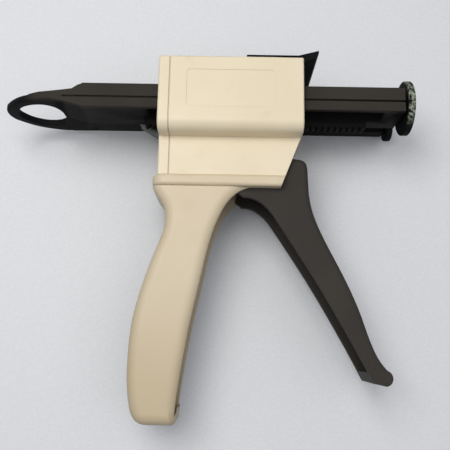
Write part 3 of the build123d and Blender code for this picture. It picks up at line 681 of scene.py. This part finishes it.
def buildCamera(look):
    lean, roll = look["lean"], look["roll"]
    right = Vector((math.cos(roll), math.sin(roll), 0))
    up = Vector((-math.cos(lean) * math.sin(roll), math.cos(lean) * math.cos(roll), math.sin(lean)))
    back = right.cross(up)
    data = bpy.data.cameras.new("camera")
    data.lens = look["lens"]
    data.sensor_width = look["sensor"]
    data.clip_start = look["clipStart"]
    camera = bpy.data.objects.new("camera", data)
    low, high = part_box("housing_shell")
    place = Vector((low[0], high[1], high[2])) + Vector(look["offset"])
    turn = Matrix((right, up, back)).transposed().to_4x4()
    camera.matrix_world = Matrix.Translation(place) @ turn
    bpy.context.scene.collection.objects.link(camera)
    bpy.context.scene.camera = camera


buildCamera(cameraLook)

paleFar = rgb(222, 224, 227)
# The paper looks pale to the camera and in reflections, and throws little light up under the gun.
# Far away it goes over into the pale room.
floorLook = {
    "size": 6.0,
    "drop": 0.0003,
    "colour": rgb(232, 234, 236),
    "fibreColour": rgb(227, 229, 232),
    "fibreScale": 900.0,
    "fibres": (0.3, 0.7),
    "bounceColour": rgb(58, 68, 88),
    "roughness": 0.75,
    "fade": (0.25, 0.9),
    "far": paleFar,
}


def seenDirectly(flow):
    # 1 for what the camera sees, also in reflections and through clear things
    path = flow.tree.nodes.new("ShaderNodeLightPath")
    camera, glossy, through = [Flow(flow.tree, path.outputs[name])
                               for name in ("Is Camera Ray", "Is Glossy Ray", "Is Transmission Ray")]
    return flow.maths("MAXIMUM", flow.maths("MAXIMUM", camera, glossy), through)


def buildFloor(look):
    half = look["size"] / 2
    low = cadBounds[0].z - look["drop"]
    mesh = bpy.data.meshes.new("floor")
    corners = [(-half, -half, low), (half, -half, low), (half, half, low), (-half, half, low)]
    mesh.from_pydata(corners, [], [(0, 1, 2, 3)])
    floor = bpy.data.objects.new("floor", mesh)
    bpy.context.scene.collection.objects.link(floor)
    material, flow, coords = newFinish("floorPaper")
    fibre = coords.noise(look["fibreScale"]).ramp(*look["fibres"])
    colour = fibre.blend(look["colour"], look["fibreColour"])
    direct = seenDirectly(flow)
    colour = direct.blend(look["bounceColour"], colour)
    paper = flow.node("ShaderNodeBsdfPrincipled", {}, {"Base Color": colour, "Roughness": look["roughness"]})
    pale = flow.node("ShaderNodeEmission", {}, {"Color": look["far"], "Strength": 1.0})
    away = flow.node("ShaderNodeVectorMath", {"operation": "LENGTH"}, {0: coords}, out="Value")
    distant = direct * away.ramp(*look["fade"])
    cove = flow.node("ShaderNodeMixShader", {}, {0: distant, 1: paper, 2: pale})
    flow.node("ShaderNodeOutputMaterial", {}, {"Surface": cove})
    mesh.materials.append(material)


buildFloor(floorLook)

lamps = {
    "keyLamp": {"place": (-0.12, 0.12, 0.55), "size": 0.35, "power": 1.9, "colour": (1.0, 0.985, 0.96)},
    "fillLamp": {"place": (0.45, -0.05, 0.9), "size": 0.8, "power": 1.4, "colour": (0.98, 0.98, 1.0)},
}
lampAim = Vector((0, 0, 0.02))


def buildLamps():
    for name, look in lamps.items():
        data = bpy.data.lights.new(name, "AREA")
        data.shape = "SQUARE"
        data.size = look["size"]
        data.energy = look["power"]
        data.color = look["colour"]
        lamp = bpy.data.objects.new(name, data)
        lamp.location = look["place"]
        aim = lampAim - Vector(look["place"])
        lamp.rotation_euler = aim.to_track_quat("-Z", "Y").to_euler()
        bpy.context.scene.collection.objects.link(lamp)


# The room is pale to look at and lights the gun softly
roomLook = {"seen": paleFar, "light": (0.92, 0.94, 1.0, 1.0), "strength": 0.32}


def buildRoom(look):
    world = bpy.data.worlds.new("room")
    world.use_nodes = True
    world.node_tree.nodes.clear()
    flow = Flow(world.node_tree)
    soft = flow.node("ShaderNodeBackground", {}, {"Color": look["light"], "Strength": look["strength"]})
    pale = flow.node("ShaderNodeBackground", {}, {"Color": look["seen"], "Strength": 1.0})
    room = flow.node("ShaderNodeMixShader", {}, {0: seenDirectly(flow), 1: soft, 2: pale})
    flow.node("ShaderNodeOutputWorld", {}, {"Surface": room})
    bpy.context.scene.world = world


buildLamps()
buildRoom(roomLook)
bpy.context.scene.view_settings.view_transform = "Standard"
print("camera, floor and lamps set")
